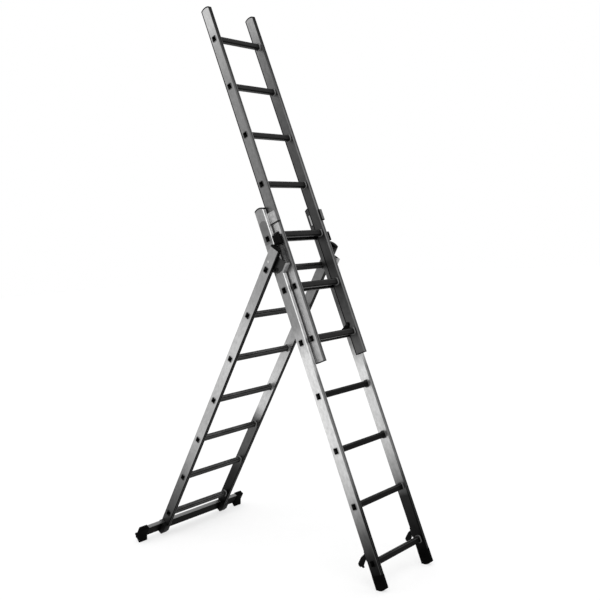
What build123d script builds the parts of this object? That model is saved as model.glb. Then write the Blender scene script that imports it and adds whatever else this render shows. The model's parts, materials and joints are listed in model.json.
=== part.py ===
"""Three-section combination ladder in aluminium, standing as a step ladder with its top section extended."""
import math
import os

from build123d import *

os.makedirs("parts", exist_ok=True)

# ---------------------------------------------------------------- driving dimensions, millimetres
# rungs
rung_count = 7
rung_pitch = 280.0
rung_depth = 28.0
rung_height = 32.0
rung_corner = 9.0
rung_wall = 1.5
rung_fit = 0.1
rung_lip = 1.2
rung_lip_spread = 2.4
collar_spread = 5.0
collar_end_spread = 0.9
collar_clearance = 0.4
tread_groove_width = 1.6
tread_groove_depth = 0.5
tread_groove_pitch = 3.6
tread_groove_count = 4

# stile extrusion, the same for all three sections
stile_depth = 62.0
stile_thick = 24.0
stile_wall = 1.4
stile_corner = 4.0
channel_width = 7.0
channel_depth = 1.2

# widths over the stiles
slide_width = 360.0
front_gap = 8.0
rear_gap = 5.0

# lengths along each section
front_foot_height = 75.0
front_first_rung = 132.0
front_top_reach = 153.0
rear_first_rung = 72.0
rear_top_reach = 123.0
slide_first_rung = 123.0
slide_top_reach = 168.0

# nesting of one section on another
nest_gap = 2.3
hook_play = 4.0
extended_rungs = 4

# ends
arch_radius = 53.0
cap_thickness = 7.0
rear_cap_thickness = 14.0
rear_cap_radius = 100.0
cap_edge = 1.6
plug_length = 26.0
plug_clearance = 0.15
end_cap_thickness = 4.0

# feet
sole_radius = 60.0
sole_flat = 1.0
foot_proud = 0.5

# stabiliser bar
bar_length = 810.0
bar_setback = 12.0
bar_foot_length = 54.0
bar_foot_wall = 3.0
bar_foot_end = 10.0
bar_foot_drop = 22.0
bar_foot_toe = 30.0
bar_foot_heel = 28.0
bar_foot_flare = 46.0
bar_foot_corner = 8.0
bar_sole_rise = 17.0
bracket_width = 42.0
bracket_wall = 4.0
bracket_floor = 8.0
bracket_front = 45.0
bracket_nose = 20.0
bracket_relief = 1.0
bolt_head = 13.0
bolt_head_height = 5.0
bolt_inset = 9.0

# hinge
spread_angle = 52.0
pivot_below_top_rung = 168.0
open_rung_gap = 1.8
pin_diameter = 10.0
pin_clearance = 0.05
pin_head_diameter = 18.0
pin_head_height = 4.0
pin_end_diameter = 16.0
pin_end_height = 2.0
hinge_plate_thick = 3.5
hinge_plate_top = 63.0
hinge_plate_back = 22.0
hinge_plate_gap = 1.0
hinge_ear_radius = 18.0
stop_clearance = 0.3
stop_front_gap = 0.5
stop_reach = 10.0
stop_height = 49.0
stop_inset = 2.0
hinge_rivet = 13.0
hinge_rivet_y = 5.0
hinge_rivet_rise = 19.0

# upper guide
guide_height = 62.0
guide_drop = 26.0
guide_sheet = 2.5
guide_root = 14.0
guide_front_gap = 4.0
guide_lip = 20.0
backing_thick = 1.2
backing_margin = 5.0
backing_below_rung = 26.0
backing_above_rung = 98.0
backing_window_gap = 1.0
pad_height = 50.0
pad_drop = 62.0
pad_length = 36.0
pad_gap = 2.5
pad_corner = 3.0
pad_round = 4.0

# rigid hooks at the foot of the front section
hook_thick = 6.0
hook_inset = 4.0
hook_arm = 22.0
hook_back = 36.0
hook_root = 51.0
hook_tail = 30.0
hook_shoulder = 6.0
hook_nose = 9.0
hook_notch = 6.0
hook_notch_rise = 8.8
hook_notch_fall = 3.2
hook_tail_low = 13.6
hook_tail_high = 25.6
hook_throat_play = 1.5
hook_rise = 4.0
hook_drop = 16.0
hook_base_length = 48.0
hook_base_width = 20.0
hook_base_thick = 3.0
hook_rivet_span = 32.0
hook_round = 2.5

# swinging rung catches at the foot of the sliding section
catch_thick = 5.0
catch_arm = 14.0
catch_tail = 12.0
catch_play = 0.5
catch_drop = 7.0
catch_pivot_offset = 2.0
catch_pivot_rise = 26.0
catch_boss = 12.0
catch_pin_diameter = 8.0
catch_gap = 0.5
catch_back = 2.0
catch_nose = 6.0
catch_pin_head = 13.6
catch_pin_head_height = 2.5

# rivets
rivet_head = 9.0
rivet_head_height = 1.2

# ---------------------------------------------------------------- derived sizes
front_width = slide_width + 2 * (front_gap + stile_thick)
rear_width = front_width + 2 * (rear_gap + stile_thick)
nest_pitch = stile_depth / 2 + rung_depth / 2 + nest_gap
half_depth = stile_depth / 2
collar_length = rear_gap - collar_clearance
collar_taper = math.degrees(math.atan2(collar_spread - collar_end_spread, collar_length))
arch_rise = arch_radius - math.sqrt(arch_radius ** 2 - half_depth ** 2)

front_rungs = [front_first_rung + rung_pitch * i for i in range(rung_count)]
rear_rungs = [rear_first_rung + rung_pitch * i for i in range(rung_count)]
slide_rungs = [slide_first_rung + rung_pitch * i for i in range(rung_count)]
front_peak = front_rungs[-1] + front_top_reach + arch_rise
rear_top = rear_rungs[-1] + rear_top_reach
slide_peak = slide_rungs[-1] + slide_top_reach + arch_rise
slide_rest = extended_rungs * rung_pitch + front_first_rung - slide_first_rung + hook_play

# The rear section's top rung comes this near to the front stiles in the open ladder.
spread = math.radians(spread_angle)
rung_reach = rung_corner + (rung_depth / 2 - rung_corner) * math.cos(spread)
rung_reach += (rung_height / 2 - rung_corner) * math.sin(spread)
rung_clear = nest_pitch * math.cos(spread) - half_depth
pivot_above_rear_rung = (open_rung_gap + rung_reach - rung_clear) / math.sin(spread)
catch_pivot_y = rung_depth / 2 + catch_pivot_offset

front_pivot = front_rungs[-1] - pivot_below_top_rung
rear_pivot = rear_rungs[-1] + pivot_above_rear_rung
bar_foot_bottom = -stile_depth - bar_foot_drop
toe_y = bar_setback - bar_foot_toe + bar_foot_corner
toe_z = bar_foot_bottom + bar_foot_corner
heel_y = bar_setback + bar_foot_heel - bar_foot_corner
heel_z = toe_z + bar_sole_rise

# The front section's lean puts its soles and the toes of the bar's feet on the same floor.
front_leg = front_pivot - sole_radius
rear_leg = rear_pivot - toe_z
rear_offset = toe_y + nest_pitch
level_cos = front_leg - rear_leg * math.cos(spread) + rear_offset * math.sin(spread)
level_sin = -rear_leg * math.sin(spread) - rear_offset * math.cos(spread)
level_sum = bar_foot_corner - sole_radius
front_lean = math.atan2(level_sin, level_cos) + math.acos(level_sum / math.hypot(level_cos, level_sin))
rear_lean = spread - front_lean

# The origin is on the floor, in the middle of the footprint.
sole_edge = sole_radius - math.sqrt(sole_radius ** 2 - half_depth ** 2)
front_reach = (front_pivot - sole_edge) * math.sin(front_lean) + half_depth * math.cos(front_lean)
rear_reach = (rear_pivot - heel_z) * math.sin(rear_lean) + (nest_pitch + heel_y) * math.cos(rear_lean)
rear_reach += bar_foot_corner
pivot_y = (front_reach - rear_reach) / 2
pivot_z = front_leg * math.cos(front_lean) + sole_radius - sole_flat
pivot = Vector(0, pivot_y, pivot_z)


def section_plane(lean, pivot_local):
    """Plane of a section: X across, Y to its rear face, Z up its stiles.

    pivot_local is the pivot's place along Y and Z.
    """
    up = Vector(0, math.sin(lean), math.cos(lean))
    rear = Vector(0, math.cos(lean), -math.sin(lean))
    return Plane(origin=pivot - rear * pivot_local[0] - up * pivot_local[1], x_dir=(1, 0, 0), z_dir=up)


def side_plane(section, x):
    """Plane across the ladder at x, with its own X to the section's rear and its own Y up the stiles."""
    return Plane(origin=section.from_local_coords((x, 0, 0)), x_dir=section.y_dir, z_dir=(1, 0, 0))


front = section_plane(front_lean, (0, front_pivot))
rear = section_plane(-rear_lean, (-nest_pitch, rear_pivot))
slide_origin = front.from_local_coords((0, -nest_pitch, slide_rest))
slide = Plane(origin=slide_origin, x_dir=(1, 0, 0), z_dir=front.z_dir)

sides = (("left", -1), ("right", 1))


def finish(part, name):
    """Label a finished piece and write it to its own file."""
    part.label = name
    export_step(part, f"parts/{name}.step")


# ---------------------------------------------------------------- extrusions
def add_below_arch(section, x, peak, radius, mode):
    """Combine with everything under an arch whose crown is at peak and whose axis runs across the ladder."""
    with BuildSketch(side_plane(section, x)) as under_arch:
        with Locations((0, peak - radius)):
            Circle(radius)
            Rectangle(2 * radius, 2 * peak, align=(Align.CENTER, Align.MAX))
    extrude(under_arch.sketch, amount=stile_thick, both=True, mode=mode)


def stile_outline(x):
    """Outer outline of a stile with a shallow channel down each narrow face."""
    with Locations((x, 0)):
        RectangleRounded(stile_thick, stile_depth, stile_corner)
    with Locations((x, half_depth), (x, -half_depth)):
        Rectangle(channel_width, 2 * channel_depth, mode=Mode.SUBTRACT)


def cavity_outline(x, gap, mode):
    """Outline of the hollow of a stile, made smaller all round by gap."""
    across = stile_thick - 2 * stile_wall - 2 * gap
    deep = stile_depth - 2 * (stile_wall + channel_depth) - 2 * gap
    with Locations((x, 0)):
        RectangleRounded(across, deep, stile_corner - stile_wall, mode=mode)


def make_stile(name, section, x, bottom, top, rungs, bores, arched):
    """One stile: hollow extrusion pierced for its rungs, with cross bores as (y, z, diameter)."""
    with BuildPart() as stile:
        with BuildSketch(section.offset(bottom)):
            stile_outline(x)
            cavity_outline(x, 0, Mode.SUBTRACT)
        extrude(amount=top - bottom)
        if arched:
            add_below_arch(section, x, top, arch_radius, Mode.INTERSECT)
        with BuildSketch(side_plane(section, x)):
            with Locations(*[(0, z) for z in rungs]):
                RectangleRounded(rung_depth + 2 * rung_fit, rung_height + 2 * rung_fit,
                                 rung_corner + rung_fit)
            for y, z, diameter in bores:
                with Locations((y, z)):
                    Circle(diameter / 2)
        extrude(amount=stile_thick, both=True, mode=Mode.SUBTRACT)
    finish(stile.part, name)


def make_rung(name, section, width, z):
    """One rung: ribbed tube whose ends are swaged into a collar inside each stile and a lip outside."""
    outer = width / 2
    inner = outer - stile_thick
    with BuildPart() as rung:
        with BuildSketch(side_plane(section, -outer - rung_lip)):
            with Locations((0, z)):
                RectangleRounded(rung_depth, rung_height, rung_corner)
        extrude(amount=2 * (outer + rung_lip))
        with BuildSketch(side_plane(section, -inner + collar_length)):
            with Locations((0, z + rung_height / 2)):
                with GridLocations(tread_groove_pitch, 0, tread_groove_count, 1):
                    Rectangle(tread_groove_width, 2 * tread_groove_depth)
        extrude(amount=2 * (inner - collar_length), mode=Mode.SUBTRACT)
        for side in (-1, 1):
            with BuildSketch(side_plane(section, side * outer)):
                with Locations((0, z)):
                    RectangleRounded(rung_depth + 2 * rung_lip_spread, rung_height + 2 * rung_lip_spread,
                                     rung_corner + rung_lip_spread)
            extrude(amount=side * rung_lip)
            with BuildSketch(side_plane(section, side * inner)):
                with Locations((0, z)):
                    RectangleRounded(rung_depth + 2 * collar_spread, rung_height + 2 * collar_spread,
                                     rung_corner + collar_spread)
            extrude(amount=-side * collar_length, taper=collar_taper)
        with BuildSketch(side_plane(section, 0)):
            with Locations((0, z)):
                RectangleRounded(rung_depth - 2 * rung_wall, rung_height - 2 * rung_wall,
                                 rung_corner - rung_wall)
        extrude(amount=outer + 2 * rung_lip, both=True, mode=Mode.SUBTRACT)
    finish(rung.part, name)


def make_arched_cap(name, section, x, peak):
    """Arched plastic cap on a stile that ends in an arch, with a plug down the hollow."""
    with BuildPart() as cap:
        with BuildSketch(section.offset(peak - arch_rise)):
            with Locations((x, 0)):
                RectangleRounded(stile_thick, stile_depth, stile_corner)
        extrude(amount=arch_rise + cap_thickness)
        add_below_arch(section, x, peak, arch_radius, Mode.SUBTRACT)
        with BuildSketch(section.offset(peak - arch_rise - plug_length)):
            cavity_outline(x, plug_clearance, Mode.ADD)
        extrude(amount=plug_length + arch_rise + cap_thickness / 2)
        add_below_arch(section, x, peak + cap_thickness, arch_radius + cap_thickness, Mode.INTERSECT)
    finish(cap.part, name)


def make_end_cap(name, section, x, end, direction, thickness, arch):
    """Cap on a square stile end, arched where arch, the radius of its crown, isn't 0.

    direction is 1 at the top of a stile and -1 at its bottom.
    """
    with BuildPart() as cap:
        with BuildSketch(section.offset(end)):
            with Locations((x, 0)):
                RectangleRounded(stile_thick, stile_depth, stile_corner)
        extrude(amount=direction * thickness)
        if arch:
            add_below_arch(section, x, end + thickness, arch, Mode.INTERSECT)
        outer_face = cap.faces().sort_by(Axis((0, 0, 0), section.z_dir))[-1 if direction > 0 else 0]
        fillet(outer_face.edges(), cap_edge)
        with BuildSketch(section.offset(end)):
            cavity_outline(x, plug_clearance, Mode.ADD)
        extrude(amount=-direction * plug_length)
    finish(cap.part, name)


# ---------------------------------------------------------------- front section
front_centre = front_width / 2 - stile_thick / 2
front_face = front_width / 2
rear_centre = rear_width / 2 - stile_thick / 2
rear_inner = rear_width / 2 - stile_thick
slide_centre = slide_width / 2 - stile_thick / 2
slide_face = slide_width / 2
slide_inner = slide_face - stile_thick


def front_foot(name, side):
    """Solid rubber foot, plugged into the stile, with a rounded sole that has a flat on the floor."""
    with BuildPart() as foot:
        with BuildSketch(front):
            with Locations((side * front_centre, 0)):
                RectangleRounded(stile_thick + 2 * foot_proud, stile_depth + 2 * foot_proud, stile_corner)
        extrude(amount=front_foot_height)
        with BuildSketch(side_plane(front, side * front_centre)):
            with Locations((0, sole_radius)):
                Circle(sole_radius)
                Rectangle(2 * sole_radius, front_foot_height, align=(Align.CENTER, Align.MIN))
        extrude(amount=stile_thick, both=True, mode=Mode.INTERSECT)
        with BuildSketch(front.offset(front_foot_height)):
            cavity_outline(side * front_centre, plug_clearance, Mode.ADD)
        extrude(amount=plug_length)
        split(bisect_by=Plane.XY, keep=Keep.TOP)
    finish(foot.part, name)


front_inner = front_face - stile_thick
guide_top = front_peak - arch_rise - guide_drop
guide_bottom = guide_top - guide_height
guide_front_y = nest_pitch + half_depth + guide_front_gap


def guide_bracket(name, side):
    """Folded sheet that holds the sliding stile: wall on the front stile's inner face, and front lip."""
    wall_x = front_inner - guide_sheet
    with BuildPart() as bracket:
        with BuildSketch(front.offset(guide_bottom)):
            with BuildLine():
                Polyline(
                    (side * front_inner, guide_root),
                    (side * front_inner, -guide_front_y - guide_sheet),
                    (side * (wall_x - guide_lip), -guide_front_y - guide_sheet),
                    (side * (wall_x - guide_lip), -guide_front_y),
                    (side * wall_x, -guide_front_y),
                    (side * wall_x, guide_root),
                    close=True,
                )
            make_face()
        extrude(amount=guide_height)
    finish(bracket.part, name)


def guide_backing_plates():
    """Arched plates on the outer faces of the front stiles, behind the guide brackets' rivets."""
    half_width = half_depth - backing_margin
    bottom = front_rungs[-1] - backing_below_rung
    crown = front_rungs[-1] + backing_above_rung
    window_depth = rung_depth + 2 * (rung_lip_spread + backing_window_gap)
    window_height = rung_height + 2 * (rung_lip_spread + backing_window_gap)
    with BuildPart() as plates:
        for side in (-1, 1):
            with BuildSketch(side_plane(front, side * front_face)):
                with Locations((0, crown - half_width)):
                    Circle(half_width)
                with Locations((0, bottom)):
                    Rectangle(2 * half_width, crown - half_width - bottom, align=(Align.CENTER, Align.MIN))
                with Locations((0, front_rungs[-1])):
                    RectangleRounded(window_depth, window_height, rung_corner, mode=Mode.SUBTRACT)
            extrude(amount=side * backing_thick)
    finish(plates.part, "guide_backing_plates")


def guide_pad(name, side):
    """Plastic pad on the front stile that the sliding stile runs beside."""
    pad_inner = slide_face + pad_gap
    with BuildPart() as pad:
        with BuildSketch(front.offset(guide_bottom - pad_drop)):
            with Locations((side * (pad_inner + front_face) / 2, -half_depth - pad_length / 2)):
                RectangleRounded(front_face - pad_inner, pad_length, pad_corner)
        extrude(amount=-pad_height)
        fillet(pad.edges().filter_by(Axis.X, tolerance=1e-3).group_by(Axis.Y)[0], pad_round)
    finish(pad.part, name)


hook_x = front_face - hook_thick - hook_inset
hook_inner_y = nest_pitch + rung_depth / 2 + hook_throat_play
hook_seat = front_first_rung + hook_rise
hook_base_z = hook_seat + hook_back
hook_base_x = front_face - hook_base_width / 2 - stile_corner / 2


def lower_hook(name, side):
    """Rigid hook on the back of the front stile, shaped to drop over a rung of the section behind."""
    x_inner = hook_x if side > 0 else -hook_x - hook_thick
    plane = side_plane(front, x_inner)
    tip = hook_seat - hook_drop
    with BuildPart() as hook:
        with BuildSketch(plane) as outline:
            with BuildLine():
                Polyline(
                    (half_depth, hook_seat + hook_arm),
                    (half_depth + hook_shoulder, hook_seat + hook_arm),
                    (hook_inner_y - rung_corner / 2, hook_seat),
                    (hook_inner_y, hook_seat - rung_corner / 2),
                    (hook_inner_y, tip),
                    (hook_inner_y + hook_nose, tip),
                    (hook_inner_y + hook_nose + hook_notch, tip + hook_notch_rise),
                    (hook_inner_y + hook_nose + 2 * hook_notch, tip + hook_notch_rise - hook_notch_fall),
                    (hook_inner_y + hook_tail, tip + hook_tail_low),
                    (hook_inner_y + hook_tail, tip + hook_tail_high),
                    (hook_inner_y, hook_seat + hook_back),
                    (half_depth, hook_seat + hook_root),
                    close=True,
                )
            make_face()
            beyond = hook_inner_y + hook_throat_play
            fillet(outline.vertices().filter_by(lambda v: plane.to_local_coords(v).X > beyond), hook_round)
        extrude(amount=hook_thick)
        with BuildSketch(side_plane(front, side * (hook_base_x - hook_base_width / 2))):
            with Locations((half_depth + hook_base_thick / 2, hook_base_z)):
                Rectangle(hook_base_thick, hook_base_length)
        extrude(amount=side * hook_base_width)
    finish(hook.part, name)


def front_section():
    """Every piece that stays with the front section."""
    bores = [(0, front_pivot, pin_diameter + 2 * pin_clearance)]
    for label, side in sides:
        x = side * front_centre
        make_stile(f"front_stile_{label}", front, x, front_foot_height, front_peak, front_rungs, bores, True)
        make_arched_cap(f"front_top_cap_{label}", front, x, front_peak)
        front_foot(f"front_foot_{label}", side)
        guide_bracket(f"guide_bracket_{label}", side)
        guide_pad(f"guide_pad_{label}", side)
        lower_hook(f"lower_hook_{label}", side)
    for i, z in enumerate(front_rungs):
        make_rung(f"front_rung_{i + 1}", front, front_width, z)


def front_rivets():
    """Rivet heads of the guide brackets and of the rigid hooks, as separate solids in one group."""
    guide_mid = (guide_top + guide_bottom) / 2
    with BuildPart() as rivets:
        for side in (-1, 1):
            with BuildSketch(side_plane(front, side * (front_inner - guide_sheet))):
                with Locations((0, guide_mid - guide_height / 4), (0, guide_mid + guide_height / 4)):
                    Circle(rivet_head / 2)
            extrude(amount=-side * rivet_head_height)
            seat = Plane(origin=front.from_local_coords((side * hook_base_x, half_depth + hook_base_thick,
                                                         hook_base_z)), x_dir=(1, 0, 0), z_dir=front.y_dir)
            with BuildSketch(seat):
                with GridLocations(0, hook_rivet_span, 1, 2):
                    with Locations((-side * hook_base_width / 4, 0)):
                        Circle(rivet_head / 2)
            extrude(amount=rivet_head_height)
    finish(rivets.part, "front_rivets")


def pivot_pins():
    """Shouldered pins that join the hinge plates to the front stiles."""
    plate_outer = rear_inner
    inner_end = front_inner
    with BuildPart() as pins:
        for side in (-1, 1):
            with BuildSketch(side_plane(front, side * plate_outer)):
                with Locations((0, front_pivot)):
                    Circle(pin_head_diameter / 2)
            extrude(amount=side * pin_head_height)
            with BuildSketch(side_plane(front, side * plate_outer)):
                with Locations((0, front_pivot)):
                    Circle(pin_diameter / 2)
            extrude(amount=-side * (plate_outer - inner_end + pin_end_height))
            with BuildSketch(side_plane(front, side * inner_end)):
                with Locations((0, front_pivot)):
                    Circle(pin_end_diameter / 2)
            extrude(amount=-side * pin_end_height)
    finish(pins.part, "pivot_pins")


# ---------------------------------------------------------------- rear section
stop_y = -(nest_pitch + half_depth + stop_front_gap)
stop_back = stop_y - stop_reach


def hinge_plate(name, side):
    """Steel plate inside the rear stile whose ear carries the pivot in front of the stile."""
    plate_x = rear_inner - hinge_plate_thick if side > 0 else -rear_inner
    foot_line = rear_pivot - pivot_above_rear_rung + rung_height / 2 + collar_spread + hinge_plate_gap
    with BuildPart() as plate:
        with BuildSketch(side_plane(rear, plate_x)):
            with BuildLine():
                Polyline(
                    (hinge_plate_back, foot_line),
                    (hinge_plate_back, rear_pivot + hinge_plate_top),
                    (stop_y, rear_pivot + hinge_plate_top),
                    (stop_y, rear_pivot + hinge_plate_top - stop_height),
                    (-nest_pitch - hinge_ear_radius, rear_pivot),
                    (-nest_pitch + hinge_ear_radius, rear_pivot),
                    close=True,
                )
            make_face()
            with Locations((-nest_pitch, rear_pivot)):
                Circle(hinge_ear_radius)
                Circle(pin_diameter / 2 + pin_clearance, mode=Mode.SUBTRACT)
        extrude(amount=hinge_plate_thick)
    finish(plate.part, name)


def stop_block(name, side):
    """Block on the plate's front edge whose lower face meets the front stile when the ladder is open."""
    top = rear_pivot + hinge_plate_top
    block_outer = rear_inner
    block_inner = front_inner + stop_inset

    def stop_line(y):
        """Height at which a point at y stands just off the front stile's face in the open ladder."""
        across = half_depth + stop_clearance + (y + nest_pitch) * math.cos(spread)
        return rear_pivot + across / math.sin(spread)

    with BuildPart() as block:
        with BuildSketch(side_plane(rear, side * block_outer)):
            with BuildLine():
                Polyline(
                    (stop_y, stop_line(stop_y)),
                    (stop_back, stop_line(stop_back)),
                    (stop_back, top),
                    (stop_y, top),
                    close=True,
                )
            make_face()
        extrude(amount=-side * (block_outer - block_inner))
    finish(block.part, name)


def bar_foot(name, side):
    """Rubber shoe on the end of the stabiliser bar: sleeve above, wider block with a slanting sole below."""
    inner_x = bar_length / 2 + bar_foot_end - bar_foot_length
    outline = side_plane(rear, side * inner_x)
    sleeve_half = stile_thick / 2 + bar_foot_wall
    with BuildPart() as shoe:
        with BuildSketch(outline):
            with Locations((bar_setback, bar_foot_wall)):
                RectangleRounded(2 * sleeve_half, bar_foot_wall - toe_z, bar_foot_wall,
                                 align=(Align.CENTER, Align.MAX))
        extrude(amount=side * bar_foot_length)
        with BuildSketch(outline):
            with Locations((toe_y, toe_z), (heel_y, heel_z)):
                Circle(bar_foot_corner)
            with Locations((bar_setback, -bar_foot_flare)):
                Rectangle(2 * sleeve_half, bar_foot_wall)
            make_hull()
        extrude(amount=side * bar_foot_length)
        with BuildSketch(outline):
            with Locations((bar_setback, -stile_depth / 2)):
                Rectangle(stile_thick + 2 * plug_clearance, stile_depth + 2 * plug_clearance)
        extrude(amount=side * (bar_foot_length - bar_foot_end), mode=Mode.SUBTRACT)
        split(bisect_by=Plane.XY, keep=Keep.TOP)
    finish(shoe.part, name)


def bar_bracket(name, side):
    """Cast bracket that holds the stabiliser bar under the stile and closes the stile's end."""
    low = -stile_depth - bracket_floor
    back = bar_setback + stile_thick / 2 + bracket_wall
    with BuildPart() as bracket:
        with BuildSketch(side_plane(rear, side * (rear_width / 2 - bracket_width / 2))):
            with BuildLine():
                Polyline(
                    (-half_depth, 0),
                    (back, 0),
                    (back, low),
                    (-bracket_nose, low),
                    (-half_depth, -bracket_front),
                    close=True,
                )
            make_face()
            with Locations((bar_setback, -stile_depth / 2)):
                Rectangle(stile_thick + 2 * rung_fit, stile_depth + bracket_relief, mode=Mode.SUBTRACT)
        extrude(amount=side * bracket_width)
    finish(bracket.part, name)


def stabiliser_bar():
    """Hollow bar under the rear stiles, from the same extrusion as the stiles."""
    with BuildPart() as bar:
        with BuildSketch(side_plane(rear, -bar_length / 2)):
            with Locations((bar_setback, -stile_depth / 2)):
                RectangleRounded(stile_thick, stile_depth, stile_corner)
                RectangleRounded(stile_thick - 2 * stile_wall, stile_depth - 2 * stile_wall,
                                 stile_corner - stile_wall, mode=Mode.SUBTRACT)
        extrude(amount=bar_length)
    finish(bar.part, "stabiliser_bar")


def bar_bolts():
    """Hexagon heads of the bolts that close the brackets on the stabiliser bar."""
    seat_y = bar_setback + stile_thick / 2 + bracket_wall
    with BuildPart() as bolts:
        for side in (-1, 1):
            head = Plane(origin=rear.from_local_coords((side * rear_width / 2, seat_y, -stile_depth / 2)),
                         x_dir=(1, 0, 0), z_dir=rear.y_dir)
            with BuildSketch(head):
                with GridLocations(bracket_width - 2 * bolt_inset, 0, 2, 1):
                    RegularPolygon(bolt_head / 2, 6)
            extrude(amount=bolt_head_height)
    finish(bolts.part, "bar_bolts")


def rear_rivets():
    """Heads of the rivets that hold the hinge plates to the rear stiles, as separate solids in one group."""
    with BuildPart() as rivets:
        for side in (-1, 1):
            with BuildSketch(side_plane(rear, side * rear_width / 2)):
                with Locations((hinge_rivet_y, rear_pivot + hinge_rivet_rise)):
                    Circle(hinge_rivet / 2)
            extrude(amount=side * rivet_head_height)
    finish(rivets.part, "rear_rivets")


def rear_section():
    """Every piece that folds with the rear section."""
    for label, side in sides:
        x = side * rear_centre
        make_stile(f"rear_stile_{label}", rear, x, 0, rear_top, rear_rungs, [], False)
        make_end_cap(f"rear_top_cap_{label}", rear, x, rear_top, 1, rear_cap_thickness, rear_cap_radius)
        hinge_plate(f"hinge_plate_{label}", side)
        stop_block(f"stop_block_{label}", side)
        bar_foot(f"bar_foot_{label}", side)
        bar_bracket(f"bar_bracket_{label}", side)
    for i, z in enumerate(rear_rungs):
        make_rung(f"rear_rung_{i + 1}", rear, rear_width, z)


# ---------------------------------------------------------------- sliding section and its catches
catch_pivot_z = slide_first_rung + rung_height / 2 + catch_pivot_rise


def catch_hook(name, side):
    """Swinging hook on the sliding stile that drops over a rung of the front section."""
    rung_z = slide_first_rung - hook_play
    seat = rung_z + rung_height / 2 + catch_play
    throat_end = nest_pitch + rung_depth / 2 + catch_play
    hook_start = slide_inner - catch_gap - catch_thick if side > 0 else -slide_inner + catch_gap
    with BuildPart() as hook:
        with BuildSketch(side_plane(slide, hook_start)):
            with BuildLine():
                Polyline(
                    (catch_pivot_y - catch_boss, catch_pivot_z),
                    (catch_pivot_y + catch_back, seat),
                    (throat_end, seat),
                    (throat_end, rung_z - catch_drop),
                    (throat_end + catch_tail, rung_z - catch_drop),
                    (throat_end + catch_tail, seat + catch_arm - catch_nose),
                    (throat_end + catch_tail - catch_nose, seat + catch_arm),
                    (catch_pivot_y + catch_boss, catch_pivot_z + catch_back),
                    close=True,
                )
            make_face()
            with Locations((catch_pivot_y, catch_pivot_z)):
                Circle(catch_boss)
                Circle(catch_pin_diameter / 2 + pin_clearance, mode=Mode.SUBTRACT)
        extrude(amount=catch_thick)
    finish(hook.part, name)


def catch_pins():
    """Headed pins on the sliding stiles that the catches swing on."""
    with BuildPart() as pins:
        for side in (-1, 1):
            seat = side * slide_inner
            reach = catch_gap + catch_thick + catch_gap
            with BuildSketch(side_plane(slide, seat)):
                with Locations((catch_pivot_y, catch_pivot_z)):
                    Circle(catch_pin_diameter / 2)
            extrude(amount=-side * reach)
            with BuildSketch(side_plane(slide, seat - side * reach)):
                with Locations((catch_pivot_y, catch_pivot_z)):
                    Circle(catch_pin_head / 2)
            extrude(amount=-side * catch_pin_head_height)
    finish(pins.part, "catch_pins")


def sliding_section():
    """Every piece that slides up the front section."""
    for label, side in sides:
        x = side * slide_centre
        make_stile(f"slide_stile_{label}", slide, x, 0, slide_peak, slide_rungs, [], True)
        make_arched_cap(f"slide_top_cap_{label}", slide, x, slide_peak)
        make_end_cap(f"slide_end_plug_{label}", slide, x, 0, -1, end_cap_thickness, 0)
        catch_hook(f"catch_hook_{label}", side)
    for i, z in enumerate(slide_rungs):
        make_rung(f"slide_rung_{i + 1}", slide, slide_width, z)


front_section()
guide_backing_plates()
front_rivets()
pivot_pins()
rear_section()
stabiliser_bar()
bar_bolts()
rear_rivets()
sliding_section()
catch_pins()
print(f"front lean {math.degrees(front_lean):.2f}, rear lean {math.degrees(rear_lean):.2f}")
print(f"pivot y {pivot_y:.2f}, z {pivot_z:.2f}")
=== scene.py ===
"""Looks of a three-section aluminium combination ladder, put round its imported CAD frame.

The ladder stands as a step ladder: a front section, a rear section hinged to it, and a section
that slides up the front one and hangs on its rungs by a pair of swinging catches.
"""

import json
import logging
import math
from dataclasses import dataclass, field
from enum import Enum

import bpy
from mathutils import Matrix, Vector


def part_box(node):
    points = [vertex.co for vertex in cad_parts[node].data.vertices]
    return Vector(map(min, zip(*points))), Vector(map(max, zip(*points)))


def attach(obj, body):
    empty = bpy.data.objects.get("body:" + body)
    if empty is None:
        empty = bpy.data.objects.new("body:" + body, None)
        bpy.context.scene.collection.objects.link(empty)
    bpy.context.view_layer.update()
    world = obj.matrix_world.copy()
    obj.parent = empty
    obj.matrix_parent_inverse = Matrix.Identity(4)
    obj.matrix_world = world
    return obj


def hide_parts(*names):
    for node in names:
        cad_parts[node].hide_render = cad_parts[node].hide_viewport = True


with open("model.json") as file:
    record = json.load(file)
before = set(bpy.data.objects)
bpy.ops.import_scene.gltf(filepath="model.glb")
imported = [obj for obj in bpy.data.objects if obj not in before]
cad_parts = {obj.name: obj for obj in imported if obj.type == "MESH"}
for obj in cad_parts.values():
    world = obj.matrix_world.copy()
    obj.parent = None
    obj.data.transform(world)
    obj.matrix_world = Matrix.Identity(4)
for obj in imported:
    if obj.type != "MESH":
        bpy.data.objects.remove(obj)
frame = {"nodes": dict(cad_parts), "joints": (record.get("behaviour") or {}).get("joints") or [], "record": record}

LOG = logging.getLogger("ladder")
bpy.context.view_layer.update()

Stops = tuple[tuple[float, float], ...]


class Finish(Enum):
    """Finishes of the ladder; the value is the name of the material."""

    FRONT_STILE = "front_stile_metal"
    REAR_STILE = "rear_stile_metal"
    SLIDING_STILE = "sliding_stile_metal"
    FRONT_RUNG = "front_rung_metal"
    REAR_RUNG = "rear_rung_metal"
    SLIDING_RUNG = "sliding_rung_metal"
    BAR = "bar_light_and_shade"
    GUIDE = "guide_sheet_metal"
    BACKING = "backing_plate_metal"
    BRACKET = "cast_bracket"
    HINGE = "hinge_plate_coat"
    STOP = "stop_block_metal"
    MOULDING = "black_moulding"
    RUBBER = "black_rubber"
    COAT = "black_coat"
    DARK_FASTENER = "dark_fastener"
    BRIGHT_FASTENER = "bright_fastener"


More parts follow.
